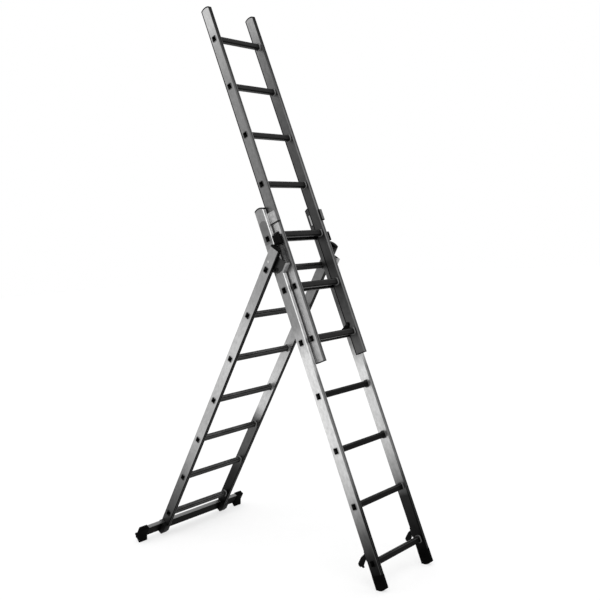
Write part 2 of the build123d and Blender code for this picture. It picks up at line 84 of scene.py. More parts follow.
# ---------------------------------------------------------------- where each section lies
@dataclass(frozen=True)
class SectionAxes:
    """A section's own axes: X across the ladder, Y to its rear face, Z up its stiles.

    Attributes:
        origin: Point in the middle of the section at the level of its first rung, in metres.
        lean: Angle from upright, positive where the top leans to the rear, in radians.
        half_width: Half of the width over the stiles.
    """

    origin: Vector
    lean: float
    half_width: float

    @property
    def up(self) -> Vector:
        """Direction up the stiles."""
        return Vector((0.0, math.sin(self.lean), math.cos(self.lean)))

    @property
    def rear(self) -> Vector:
        """Direction from the front face to the rear face."""
        return Vector((0.0, math.cos(self.lean), -math.sin(self.lean)))

    def matrix(self) -> Matrix:
        """Matrix that carries the section's own axes to the ladder's frame."""
        turn = Matrix((Vector((1.0, 0.0, 0.0)), self.rear, self.up)).transposed().to_4x4()
        return Matrix.Translation(self.origin) @ turn


def section_axes(prefix: str, lean: float) -> SectionAxes:
    """Find a section's axes from its packed rungs.

    Args:
        prefix: First word of the section's node names.
        lean: Lean of the section in radians.

    Returns:
        The section's axes.
    """
    low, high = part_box(f"{prefix}_rung_1")
    stile_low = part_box(f"{prefix}_stile_left")[0]
    return SectionAxes((low + high) / 2, lean, -stile_low.x)


def front_lean() -> float:
    """Lean of the front section, from the direction in which the sliding section moves."""
    axis = next(joint for joint in frame["joints"] if joint["type"] == "slide")["axis"]
    return math.atan2(axis[1], axis[2])


def rear_lean() -> float:
    """Lean of the rear section, from its lowest and highest rungs; negative, as it leans to the front."""
    low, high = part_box("rear_rung_1")
    top_low, top_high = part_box("rear_rung_7")
    span = (top_low + top_high - low - high) / 2
    return math.atan2(span.y, span.z)


# ---------------------------------------------------------------- shader maths
class Value:
    """A socket of a shader that takes part in Python expressions."""

    def __init__(self, tree: "ShaderTree", socket: bpy.types.NodeSocket) -> None:
        """Wrap a socket.

        Args:
            tree: Tree that the socket belongs to.
            socket: Output socket to wrap.
        """
        self.tree = tree
        self.socket = socket

    def __add__(self, other: "Value | float") -> "Value":
        """Sum."""
        return self.tree.math("ADD", self, other)

    __radd__ = __add__

    def __mul__(self, other: "Value | float") -> "Value":
        """Product."""
        return self.tree.math("MULTIPLY", self, other)

    __rmul__ = __mul__

    def __sub__(self, other: "Value | float") -> "Value":
        """Difference."""
        return self.tree.math("SUBTRACT", self, other)

    def __rsub__(self, other: float) -> "Value":
        """Difference from a number."""
        return self.tree.math("SUBTRACT", other, self)

    def __abs__(self) -> "Value":
        """Size without sign."""
        return self.tree.math("ABSOLUTE", self)

    def band(self, low: float, high: float) -> "Value":
        """Smooth step.

        Args:
            low: Value at which the step starts.
            high: Value at which the step is complete.

        Returns:
            0 before low, 1 after high, smooth between.
        """
        return self.tree.node(
            "ShaderNodeMapRange",
            {"interpolation_type": "SMOOTHSTEP"},
            {"Value": self, "From Min": low, "From Max": high},
        )


class ShaderTree:
    """Builds one material from nodes."""

    def __init__(self, name: str) -> None:
        """Make an empty material.

        Args:
            name: Name of the material.
        """
        self.material = bpy.data.materials.new(name)
        self.material.use_nodes = True
        self.tree = self.material.node_tree
        self.tree.nodes.clear()

    def node(self, kind: str, settings: dict, sockets: dict, output: int | str = 0) -> Value:
        """Add a node.

        Args:
            kind: Blender's type name of the node.
            settings: Properties of the node; "stops" are a ramp's (place, grey) or (place, colour) pairs.
            sockets: Values or links by socket name or number.
            output: Output socket to hand back.

        Returns:
            The wrapped output socket.
        """
        made = self.tree.nodes.new(kind)
        for key, setting in settings.items():
            if key == "stops":
                ramp = made.color_ramp
                while len(ramp.elements) < len(setting):
                    ramp.elements.new(1.0)
                for element, (place, tone) in zip(ramp.elements, setting):
                    element.position = place
                    element.color = (*tone, 1.0) if isinstance(tone, tuple) else (tone, tone, tone, 1.0)
            else:
                setattr(made, key, setting)
        for key, value in sockets.items():
            if isinstance(value, Value):
                self.tree.links.new(value.socket, made.inputs[key])
            else:
                made.inputs[key].default_value = value
        return Value(self, made.outputs[output])

    def math(self, operation: str, *operands: "Value | float") -> Value:
        """Add a Math node.

        Args:
            operation: Blender's name of the operation.
            operands: One to three operands.

        Returns:
            The result.
        """
        return self.node("ShaderNodeMath", {"operation": operation}, dict(enumerate(operands)))

    def grey(self, tone: Value) -> Value:
        """Make a colour of one number."""
        return self.node("ShaderNodeCombineColor", {}, {0: tone, 1: tone, 2: tone})

    def blend(self, factor: Value, first: "Value | tuple", second: "Value | tuple") -> Value:
        """Mix two colours.

        Args:
            factor: Share of the second colour.
            first: First colour.
            second: Second colour.

        Returns:
            The mixed colour.
        """
        return self.node(
            "ShaderNodeMix", {"data_type": "RGBA"}, {"Factor": factor, 6: first, 7: second}, output=2
        )

    def combine(self, kind: str, first: Value, second: Value) -> Value:
        """Add or multiply two colours.

        Args:
            kind: Blender's name of the blend type.
            first: First colour.
            second: Second colour.

        Returns:
            The combined colour.
        """
        settings = {"data_type": "RGBA", "blend_type": kind}
        return self.node("ShaderNodeMix", settings, {"Factor": 1.0, 6: first, 7: second}, output=2)

    def noise(self, vector: Value, scale: float, detail: float, roughness: float = 0.5) -> Value:
        """Add a noise texture.

        Args:
            vector: Coordinates.
            scale: Number of features in a metre.
            detail: Octaves.
            roughness: Strength of the finer octaves.

        Returns:
            Noise between 0 and 1.
        """
        return self.node(
            "ShaderNodeTexNoise",
            {},
            {"Vector": vector, "Scale": scale, "Detail": detail, "Roughness": roughness},
        )

    def placed(self, axes: "SectionAxes | None", scale: tuple[float, float, float] = (1, 1, 1)) -> Value:
        """Object coordinates turned to a section's axes.

        Args:
            axes: The section, or None for the ladder's own frame.
            scale: Stretch along the section's axes.

        Returns:
            The coordinates.
        """
        coordinates = self.node("ShaderNodeTexCoord", {}, {}, output="Object")
        if axes is None:
            return self.node("ShaderNodeMapping", {}, {"Vector": coordinates, "Scale": scale})
        turn = Matrix.Rotation(axes.lean, 4, "X")
        shift = -(turn @ axes.origin)
        lying = self.node(
            "ShaderNodeMapping",
            {"vector_type": "POINT"},
            {"Vector": coordinates, "Rotation": (axes.lean, 0.0, 0.0), "Location": tuple(shift)},
        )
        if scale == (1, 1, 1):
            return lying
        return self.node("ShaderNodeVectorMath", {"operation": "MULTIPLY"}, {0: lying, 1: scale})

    def split(self, vector: Value) -> tuple[Value, Value, Value]:
        """Split coordinates into X, Y and Z."""
        made = self.tree.nodes.new("ShaderNodeSeparateXYZ")
        self.tree.links.new(vector.socket, made.inputs[0])
        return tuple(Value(self, socket) for socket in made.outputs)

    def surface(
        self,
        colour: "Value | tuple",
        roughness: "Value | float",
        metallic: "Value | float",
        height: Value | None = None,
        depth: float = 0.0,
        coat: float = 0.0,
        specular: float = 0.5,
        glow: float = 0.0,
    ) -> bpy.types.Material:
        """Finish the material with a Principled shader.

        Args:
            colour: Base colour.
            roughness: Roughness.
            metallic: Metallic.
            height: Height for the bump, where there is one.
            depth: Depth of the bump in metres.
            coat: Weight of the clear coat.
            specular: Specular level of what isn't metal.
            glow: Brightness of an even grey glow.

        Returns:
            The finished material.
        """
        sockets: dict = {
            "Base Color": colour,
            "Roughness": roughness,
            "Metallic": metallic,
            "Coat Weight": coat,
            "Specular IOR Level": specular,
            "Emission Color": (glow, glow, glow, 1.0),
            "Emission Strength": 1.0 if glow else 0.0,
        }
        if height is not None:
            sockets["Normal"] = self.node(
                "ShaderNodeBump", {}, {"Height": height, "Distance": depth, "Strength": 1.0}
            )
        shader = self.node("ShaderNodeBsdfPrincipled", {}, sockets)
        end = self.tree.nodes.new("ShaderNodeOutputMaterial")
        self.tree.links.new(shader.socket, end.inputs["Surface"])
        return self.material


# ---------------------------------------------------------------- finishes
@dataclass(frozen=True)
class DrawnStile:
    """Mill-finish aluminium of a stile, with lengthwise drawing lines and scuffs, and painted light and shade:
    tones along the stile and across its faces, painted shade in the channel, a painted shadow at the rear edge and
    a painted highlight at the front edges.

    Attributes:
        name: Name of the material.
        axes: Section that the stile belongs to.
        start: Where the tones start, measured from the first rung.
        outer: Painted light and shade of the outer wide faces, from bottom to top.
        inner: Painted light and shade of the inner wide faces.
        narrow: Painted light and shade of the front narrow faces.
        groove: How dark the painted shade in the channel down a narrow face is.
        rear_edge_shadow: How dark the painted shadow along the rear edge of the wide faces is.
        glint: Brightness of the painted highlight along the front edges.
        length: Length over which the tones run, up from the start.
        half_depth: Half of the stile's depth.
        stile_thick: Thickness of the stile.
        channel: Half width of the channel down the narrow faces.
        rear_shadow_line: Where the painted shadow line at the rear edge starts and is complete, behind the middle.
        corner_start: Where the painted highlight on the front corner starts, in front of the middle.
        corner_end: Where the painted highlight on the front corner ends.
    """

    name: str
    axes: SectionAxes
    start: float
    outer: Stops
    inner: Stops
    narrow: Stops
    groove: float = 0.45
    rear_edge_shadow: float = 0.0
    glint: float = 0.0
    length: float = 2.0
    half_depth: float = 0.031
    stile_thick: float = 0.024
    channel: float = 0.0036
    rear_shadow_line: tuple[float, float] = (0.0215, 0.0232)
    corner_start: tuple[float, float] = (0.0258, 0.0272)
    corner_end: tuple[float, float] = (0.0296, 0.0306)

    def material(self) -> bpy.types.Material:
        """Build the material."""
        tree = ShaderTree(self.name)
        x, y, z = tree.split(tree.placed(self.axes))
        along = (z - self.start) * (1.0 / self.length)
        # Painted light and shade: the outer, inner and narrow faces each take their own ramp of tones along the
        # stile.
        outer, inner, narrow = (
            tree.node("ShaderNodeValToRGB", {"stops": stops}, {"Fac": along})
            for stops in (self.outer, self.inner, self.narrow)
        )
        centre = self.axes.half_width - self.stile_thick / 2
        outward = abs(x).band(centre - 0.004, centre + 0.004)
        forward = y * -1.0
        on_front = forward.band(self.half_depth - 0.0042, self.half_depth - 0.0026)
        tone = tree.blend(on_front, tree.blend(outward, inner, outer), narrow)
        drawn = tree.noise(tree.placed(self.axes, (420.0, 420.0, 5.0)), scale=1.0, detail=3.0)
        mottle = tree.noise(tree.placed(self.axes, (1.0, 1.0, 0.6)), scale=62.0, detail=5.0, roughness=0.66)
        cloud = tree.noise(tree.placed(self.axes, (1.0, 1.0, 0.4)), scale=7.0, detail=2.0)
        streaks = tree.placed(self.axes, (60.0, 60.0, 22.0))
        scuff = tree.noise(streaks, scale=1.0, detail=5.0, roughness=0.7).band(0.62, 0.72)
        # Mask for the painted shade in the channel down the narrow faces.
        in_channel = 1.0 - abs(abs(x) - centre).band(self.channel - 0.0008, self.channel + 0.0004)
        on_narrow = abs(y).band(self.half_depth - 0.003, self.half_depth - 0.0015)
        # Painted shadow line along the rear edge of the wide faces.
        rear_shadow_line = y.band(*self.rear_shadow_line) * self.rear_edge_shadow
        # Painted highlight: a mask for the front corner of the outer faces, lit a little brighter below.
        front_corner = forward.band(*self.corner_start) * (1.0 - forward.band(*self.corner_end))
        wear = (drawn * 0.2 + mottle * 0.8 + cloud * 0.3 + 0.35) * (1.0 - scuff * 0.18)
        # Drawing lines, mottle and scuffs, darkened by the painted shade in the channel and the painted shadow at
        # the rear edge.
        shade = wear * (1.0 - in_channel * on_narrow * self.groove) * (1.0 - rear_shadow_line * (1.0 - on_narrow))
        glint = tree.grey(front_corner * outward * mottle * (2 * self.glint))
        colour = tree.combine("ADD", tree.combine("MULTIPLY", tone, tree.grey(shade)), glint)
        roughness = drawn * 0.12 + mottle * 0.16 + 0.24
        height = drawn * 0.7 + mottle * 0.3
        return tree.surface(colour, roughness, metallic=1.0, height=height, depth=0.00012)


@dataclass(frozen=True)
class SwagedRung:
    """Aluminium of a rung: ribbed tube with painted shade on its front and under sides and painted light on its
    tread, swaged collars with a painted highlight, lips in painted light and shade, and painted shade in the bore.

    Attributes:
        name: Name of the material.
        axes: Section that the rung belongs to.
        pitch: Distance between rungs.
        front: Tone of the painted shade on the tube's front and under sides.
        tread: Tone of the painted light on the tread.
        collar_highlight: Tone of the painted highlight on the collars inside the stiles.
        start: Where the tones of the lips start, measured from the first rung.
        lip: Painted light and shade of the lips outside the stiles, from the lowest rung to the highest.
        bore_y: Half depth of the bore.
        bore_z: Half height of the bore.
        stile_thick: Thickness of the stile.
        collar: Length of a collar.
        rib_pitch: Distance between the ribs of the tread.
        length: Length over which the lips' tones run.
        tread_edge: Where the tread starts and is complete, above the middle of the rung.
        lip_edge: Where the lip starts and is complete, outward from the stile's inner face.
        bore_shade: Tone of the painted shade inside the bore.
    """

    name: str
    axes: SectionAxes
    pitch: float
    front: float
    tread: float
    collar_highlight: float
    start: float
    lip: Stops
    length: float = 2.0
    bore_y: float = 0.0130
    bore_z: float = 0.0150
    stile_thick: float = 0.024
    collar: float = 0.0046
    rib_pitch: float = 0.0036
    tread_edge: tuple[float, float] = (0.006, 0.0125)
    lip_edge: tuple[float, float] = (0.004, 0.006)
    bore_shade: float = 0.002

    def material(self) -> bpy.types.Material:
        """Build the material."""
        tree = ShaderTree(self.name)
        x, y, z = tree.split(tree.placed(self.axes))
        level = tree.math("WRAP", z, self.pitch / 2, -self.pitch / 2)
        # Painted shade inside the bore.
        in_bore = (1.0 - abs(y).band(self.bore_y - 0.0006, self.bore_y)) * (
            1.0 - abs(level).band(self.bore_z - 0.0006, self.bore_z)
        )
        inner = self.axes.half_width - self.stile_thick
        on_collar = abs(x).band(inner - self.collar - 0.0005, inner - self.collar + 0.0015)
        on_lip = abs(x).band(inner + self.lip_edge[0], inner + self.lip_edge[1])
        on_tread = level.band(*self.tread_edge)
        grain = tree.noise(tree.placed(self.axes, (5.0, 420.0, 420.0)), scale=1.0, detail=3.0)
        mottle = tree.noise(tree.placed(self.axes), scale=46.0, detail=4.0, roughness=0.6)
        patches = tree.placed(self.axes, (9.0, 30.0, 2.0))
        trodden = tree.noise(patches, scale=1.0, detail=2.0).band(0.35, 0.75)
        # Painted shade on the front and under sides, painted light on the tread, with trodden patches and mottle.
        tube = (on_tread * (self.tread - self.front) * (trodden * 0.6 + 0.4) + self.front) * (
            grain * 0.3 + mottle * 0.8 + 0.45
        )
        along = (z - self.start) * (1.0 / self.length)
        # Painted light and shade of the lips, following the stile's outer faces.
        lips = tree.node("ShaderNodeValToRGB", {"stops": self.lip}, {"Fac": along})
        # Painted highlight on the collars.
        outside = tube * (1.0 - on_collar) + on_collar * (mottle * 0.5 + 0.75) * self.collar_highlight
        inside = 1.0 - in_bore
        pressed = tree.combine("MULTIPLY", lips, tree.grey(mottle * 0.5 + 0.35))
        bored = tree.grey(outside * inside + in_bore * self.bore_shade)
        colour = tree.blend(on_lip * inside, bored, pressed)
        ribs = tree.math("SINE", y * (2 * math.pi / self.rib_pitch))
        height = ribs * on_tread * 0.5 + grain * 0.3
        metallic = 1.0 - in_bore * 0.95
        return tree.surface(
            colour, mottle * 0.2 + 0.4, metallic=metallic, height=height, depth=0.0003, specular=0.03
        )


@dataclass(frozen=True)
class BarLightAndShade:
    """Finish of the stabiliser bar: aluminium, dull behind, with painted light making it pale on top and painted
    shade making it black in front and below, and a few chips.

    Attributes:
        name: Name of the material.
        axes: Axes of the rear section.
        top: Height of the bar's top face from the first rung, along the section.
        depth: Distance of the bar's rear face from the middle of the stiles.
        pale: Tone of the painted light on the top face.
        dull: Tone of the rear face.
        black: Tone of the painted shade on the front and under faces.
    """

    name: str
    axes: SectionAxes
    top: float = -0.072
    depth: float = 0.024
    pale: float = 0.2
    dull: float = 0.1
    black: float = 0.001

    def material(self) -> bpy.types.Material:
        """Build the material."""
        tree = ShaderTree(self.name)
        _, y, z = tree.split(tree.placed(self.axes))
        on_top = z.band(self.top - 0.0022, self.top - 0.0012)
        behind = y.band(self.depth - 0.0014, self.depth - 0.0006)
        drawn = tree.noise(tree.placed(self.axes, (4.0, 380.0, 380.0)), scale=1.0, detail=3.0)
        flakes = tree.placed(self.axes, (18.0, 60.0, 60.0))
        chipped = tree.noise(flakes, scale=1.0, detail=5.0, roughness=0.7).band(0.6, 0.75)
        # Painted light on the top face and near-black painted shade on the front and under faces; the rear face
        # keeps a dull aluminium tone, and only the top and rear are metallic.
        bare = on_top * self.pale + behind * (1.0 - on_top) * self.dull
        shade = (bare + self.black + chipped * 0.01) * (drawn * 0.5 + 0.75)
        metal = on_top + behind * (1.0 - on_top)
        height = drawn + chipped * 0.4
        return tree.surface(
            tree.grey(shade), 0.3 + drawn * 0.2, metallic=metal, height=height, depth=0.00012, specular=0.02
        )


@dataclass(frozen=True)
class GuideSheet:
    """Folded aluminium sheet of a guide, mottled, with a painted shadow line round its lower and inner edges and
    painted shade on its turned lip.

    Attributes:
        name: Name of the material.
        axes: Axes of the front section.
        lip: Distance of the turned lip in front of the middle of the front stiles.
        shaded: How much darker the painted shade makes the lip than the wall.
        lip_end: Distance of the lip's inner edge from the middle of the ladder.
        bottom: Height of the lower edge from the first rung.
        tone: Tone of the wall.
        edge_shadow_tone: Tone of the painted shadow line.
    """

    name: str
    axes: SectionAxes
    lip: float = 0.0805
    shaded: float = 0.7
    lip_end: float = 0.1655
    bottom: float = 1.745
    tone: float = 0.42
    edge_shadow_tone: float = 0.01

    def material(self) -> bpy.types.Material:
        """Build the material."""
        tree = ShaderTree(self.name)
        place = tree.placed(self.axes)
        x, y, z = tree.split(place)
        # Painted shadow line round the lower and inner edges.
        inner_edge = 1.0 - abs(x).band(self.lip_end + 0.002, self.lip_end + 0.004)
        dark = inner_edge + (1.0 - inner_edge) * (1.0 - z.band(self.bottom + 0.003, self.bottom + 0.006))
        # Painted shade on the turned lip.
        turned = (y * -1.0).band(self.lip - 0.001, self.lip + 0.001)
        mottle = tree.noise(place, scale=60.0, detail=5.0, roughness=0.65)
        brushed = tree.noise(tree.placed(self.axes, (300.0, 300.0, 8.0)), scale=1.0, detail=3.0)
        wall = (mottle * 1.2 + brushed * 0.3 + 0.25) * self.tone
        shade = wall * (1.0 - dark) * (1.0 - turned * self.shaded)
        height = brushed + mottle * 0.5
        colour = tree.grey(shade + dark * self.edge_shadow_tone)
        roughness = mottle * 0.25 + 0.28
        return tree.surface(colour, roughness, metallic=1.0, height=height, depth=0.00015)


@dataclass(frozen=True)
class PlainFinish:
    """Finish that is the same on all faces of a piece.

    Attributes:
        name: Name of the material.
        tone: Colour.
        roughness: Mean roughness.
        metallic: Metallic.
        grain: Size of the surface grain in metres.
        depth: Depth of the grain in metres.
        spread: How much the tone varies.
        specular: Specular level.
    """

    name: str
    tone: tuple[float, float, float]
    roughness: float
    metallic: float = 0.0
    grain: float = 0.0012
    depth: float = 0.00008
    spread: float = 0.5
    specular: float = 0.5

    def material(self) -> bpy.types.Material:
        """Build the material."""
        tree = ShaderTree(self.name)
        place = tree.placed(None)
        fine = tree.noise(place, scale=1.0 / self.grain, detail=3.0)
        broad = tree.noise(place, scale=26.0, detail=4.0, roughness=0.6)
        rubbed = broad.band(0.55, 0.75)
        light = tuple(min(1.0, c * (1 + self.spread)) for c in self.tone)
        dark = tuple(c * (1 - self.spread) for c in self.tone)
        colour = tree.blend(fine * 0.35 + broad * 0.65, (*dark, 1.0), (*light, 1.0))
        roughness = self.roughness - 0.06 + fine * 0.1 + rubbed * 0.06
        return tree.surface(
            colour,
            roughness,
            metallic=self.metallic,
            height=fine * 0.8 + broad * 0.2,
            depth=self.depth,
            specular=self.specular,
        )


@dataclass
class Finishes:
    """All the finishes of the ladder, built once.

    Attributes:
        front: Axes of the front section.
        rear: Axes of the rear section.
        sliding: Axes of the sliding section.
        pitch: Distance between rungs.
    """

    front: SectionAxes
    rear: SectionAxes
    sliding: SectionAxes
    pitch: float = 0.28
    made: dict[str, bpy.types.Material] = field(default_factory=dict)

    def build(self) -> None:
        """Build every material."""
        # Painted light and shade along the outer faces of each section, from bottom to top; the rung lips take the
        # same stops.
        front_outer = ((0.03, 0.002), (0.08, 0.018), (0.13, 0.085), (0.18, 0.23), (0.23, 0.42),
                       (0.28, 0.55), (0.38, 0.68), (0.58, 0.69), (0.67, 0.25), (0.87, 0.23), (1.0, 0.3))
        rear_outer = ((0.03, 0.05), (0.08, 0.08), (0.15, 0.13), (0.23, 0.27), (0.33, 0.42), (0.43, 0.42),
                      (0.58, 0.56), (0.68, 0.5), (0.78, 0.34), (1.0, 0.28))
        sliding_outer = ((0.03, 0.45), (0.24, 0.45), (0.27, 0.25), (0.33, 0.2), (0.345, 0.5), (0.37, 0.5),
                         (0.39, 0.17), (0.65, 0.22), (0.75, 0.25), (0.88, 0.36), (0.94, 0.56))
        looks = (
            # The stiles' outer, inner and narrow stops are painted light and shade along each section.
            DrawnStile(
                Finish.FRONT_STILE.value, self.front, -0.132,
                outer=front_outer,
                inner=((0.03, 0.001), (0.18, 0.02), (0.23, 0.22), (0.28, 0.36), (0.33, 0.55), (0.53, 0.68),
                       (0.6, 0.22), (0.72, 0.1), (1.0, 0.04)),
                narrow=((0.05, 0.002), (0.18, 0.006), (0.23, 0.045), (0.28, 0.16), (0.53, 0.19),
                        (0.58, 0.7), (0.78, 0.8), (1.0, 0.85)),
                groove=0.3, glint=0.05,
            ),
            DrawnStile(
                Finish.REAR_STILE.value, self.rear, -0.072,
                outer=rear_outer,
                inner=((0.03, 0.006), (0.13, 0.018), (0.23, 0.09), (0.33, 0.1), (0.38, 0.56), (0.53, 0.52),
                       (0.63, 0.35), (0.73, 0.22), (1.0, 0.1)),
                narrow=((0.0, 0.001), (0.75, 0.003), (1.0, 0.03)),
            ),
            DrawnStile(
                Finish.SLIDING_STILE.value, self.sliding, -0.123,
                outer=sliding_outer,
                inner=((0.0, 0.1), (0.25, 0.045), (0.45, 0.06), (0.7, 0.1), (0.88, 0.2), (1.0, 0.4)),
                narrow=((0.0, 0.13), (0.45, 0.15), (0.7, 0.12), (0.88, 0.04), (1.0, 0.01)),
                rear_edge_shadow=0.97,
            ),
            # Rung tones: painted shade on the front and under sides, painted light on the tread, a painted
            # highlight on the collars.
            SwagedRung(
                Finish.FRONT_RUNG.value, self.front, self.pitch,
                front=0.004, tread=0.085, collar_highlight=0.09, start=-0.132, lip=front_outer,
            ),
            SwagedRung(
                Finish.REAR_RUNG.value, self.rear, self.pitch,
                front=0.012, tread=0.13, collar_highlight=0.12, start=-0.072, lip=rear_outer,
            ),
            SwagedRung(
                Finish.SLIDING_RUNG.value, self.sliding, self.pitch,
                front=0.02, tread=0.12, collar_highlight=0.13, start=-0.123, lip=sliding_outer,
            ),
            BarLightAndShade(Finish.BAR.value, self.rear),
            GuideSheet(Finish.GUIDE.value, self.front),
            PlainFinish(
                Finish.BACKING.value,
                tone=(0.16, 0.16, 0.16), roughness=0.36, metallic=1.0,
                grain=0.0009, depth=0.00005, spread=0.35,
            ),
            PlainFinish(
                Finish.BRACKET.value,
                tone=(0.006, 0.006, 0.006), roughness=0.5, metallic=0.4,
                grain=0.0016, depth=0.00018, specular=0.05,
            ),
            PlainFinish(
                Finish.HINGE.value,
                tone=(0.045, 0.045, 0.045), roughness=0.4, metallic=0.9,
                grain=0.0012, depth=0.00008, spread=0.6, specular=0.1,
            ),
            PlainFinish(
                Finish.STOP.value,
                tone=(0.3, 0.3, 0.3), roughness=0.42, metallic=1.0,
                grain=0.0011, depth=0.0001, spread=0.4,
            ),
            PlainFinish(
                Finish.MOULDING.value,
                tone=(0.002, 0.002, 0.002), roughness=0.5, metallic=0.0,
                grain=0.0007, depth=0.00006, specular=0.035,
            ),
            PlainFinish(
                Finish.RUBBER.value,
                tone=(0.001, 0.001, 0.001), roughness=0.66, metallic=0.0,
                grain=0.0016, depth=0.00016, specular=0.02,
            ),
            PlainFinish(
                Finish.COAT.value,
                tone=(0.002, 0.002, 0.002), roughness=0.45, metallic=0.0,
                grain=0.0022, depth=0.00008, specular=0.03,
            ),
            PlainFinish(
                Finish.DARK_FASTENER.value,
                tone=(0.012, 0.012, 0.012), roughness=0.36, metallic=0.9,
                grain=0.0008, depth=0.00004, spread=0.3,
            ),
            PlainFinish(
                Finish.BRIGHT_FASTENER.value,
                tone=(0.5, 0.5, 0.49), roughness=0.32, metallic=1.0,
                grain=0.0008, depth=0.00004, spread=0.2,
            ),
        )
        for look in looks:
            self.made[look.name] = look.material()
            LOG.info("finish %s", look.name)

    def dress(self, piece: bpy.types.Object, finish: Finish) -> None:
        """Give a piece or a CAD node a finish.

        Args:
            piece: Object to dress.
            finish: Finish to give it.
        """
        slots = piece.data.materials
        if not slots:
            slots.append(self.made[finish.value])
        for index in range(len(slots)):
            slots[index] = self.made[finish.value]
        LOG.info("%s wears %s", piece.name, finish.value)


# ---------------------------------------------------------------- studio
@dataclass
class Studio:
    """Pale floor, soft light and the camera.

    Attributes:
        eye: Place of the camera in metres.
        yaw: Direction of view from +Y towards +X, in degrees.
        pitch: Tilt of the view above the horizon, in degrees.
        roll: Turn about the view, in degrees.
        lens: Focal length in millimetres.
        sensor: Width of the camera's sensor in millimetres.
        near: Nearest distance that is seen, in metres.
        far: Farthest distance that is seen.
        floor_side: Side of the floor in metres.
        floor_glow: Brightness of the floor's own even glow.
        key_strength: Strength of the soft key light.
        key_spread: Angle over which the key light is spread, in degrees.
        key_direction: Direction in which the key light shines.
    """

    eye: tuple[float, float, float] = (-3.4006, -3.1604, 1.6878)
    yaw: float = 48.934
    pitch: float = -3.909
    roll: float = -3.246
    lens: float = 51.0624
    sensor: float = 36.0
    near: float = 0.05
    far: float = 200.0
    floor_side: float = 60.0
    floor_glow: float = 0.62
    key_strength: float = 0.7
    key_spread: float = 40.0
    key_direction: tuple[float, float, float] = (0.35, 0.5, -1.0)

    def build(self) -> None:
        """Make the floor, the lights and the camera."""
        self.floor()
        self.light()
        self.camera()

    def floor(self) -> None:
        """Lay a plain pale floor."""
        bpy.ops.object.select_all(action="DESELECT")
        bpy.ops.mesh.primitive_plane_add(size=self.floor_side, location=(0.0, 0.0, 0.0))
        floor = bpy.context.object
        floor.name = "floor"
        tree = ShaderTree("pale_floor")
        grain = tree.noise(tree.placed(None), scale=3.0, detail=4.0)
        colour = tree.blend(grain, (0.34, 0.34, 0.34, 1.0), (0.37, 0.37, 0.37, 1.0))
        matt = tree.surface(colour, 0.9, metallic=0.0, specular=0.05, glow=self.floor_glow)
        floor.data.materials.append(matt)

    def light(self) -> None:
        """Set an even pale surround and one wide soft light."""
        world = bpy.data.worlds.new("pale_surround")
        bpy.context.scene.world = world
        world.use_nodes = True
        back = world.node_tree.nodes["Background"]
        back.inputs["Color"].default_value = (1.0, 1.0, 1.0, 1.0)
        back.inputs["Strength"].default_value = 1.0
        sun = bpy.data.lights.new("soft_key", "SUN")
        sun.energy = self.key_strength
        sun.angle = math.radians(self.key_spread)
        holder = bpy.data.objects.new("soft_key", sun)
        holder.rotation_euler = Vector(self.key_direction).to_track_quat("-Z", "Y").to_euler()
        bpy.context.scene.collection.objects.link(holder)
        bpy.context.scene.view_settings.view_transform = "Standard"

    def camera(self) -> None:
        """Stand the camera where the view asks for it."""
        yaw, pitch, roll = (math.radians(angle) for angle in (self.yaw, self.pitch, self.roll))
        level_reach = math.cos(pitch)
        forward = Vector((math.sin(yaw) * level_reach, math.cos(yaw) * level_reach, math.sin(pitch)))
        level = Vector((math.cos(yaw), -math.sin(yaw), 0.0))
        upright = level.cross(forward)
        right = level * math.cos(roll) + upright * math.sin(roll)
        up = upright * math.cos(roll) - level * math.sin(roll)
        data = bpy.data.cameras.new("eye")
        data.sensor_width = self.sensor
        data.lens = self.lens
        data.clip_start, data.clip_end = self.near, self.far
        eye = bpy.data.objects.new("eye", data)
        turn = Matrix((right, up, -forward)).transposed().to_4x4()
        eye.matrix_world = Matrix.Translation(Vector(self.eye)) @ turn
        bpy.context.scene.collection.objects.link(eye)
        bpy.context.scene.camera = eye


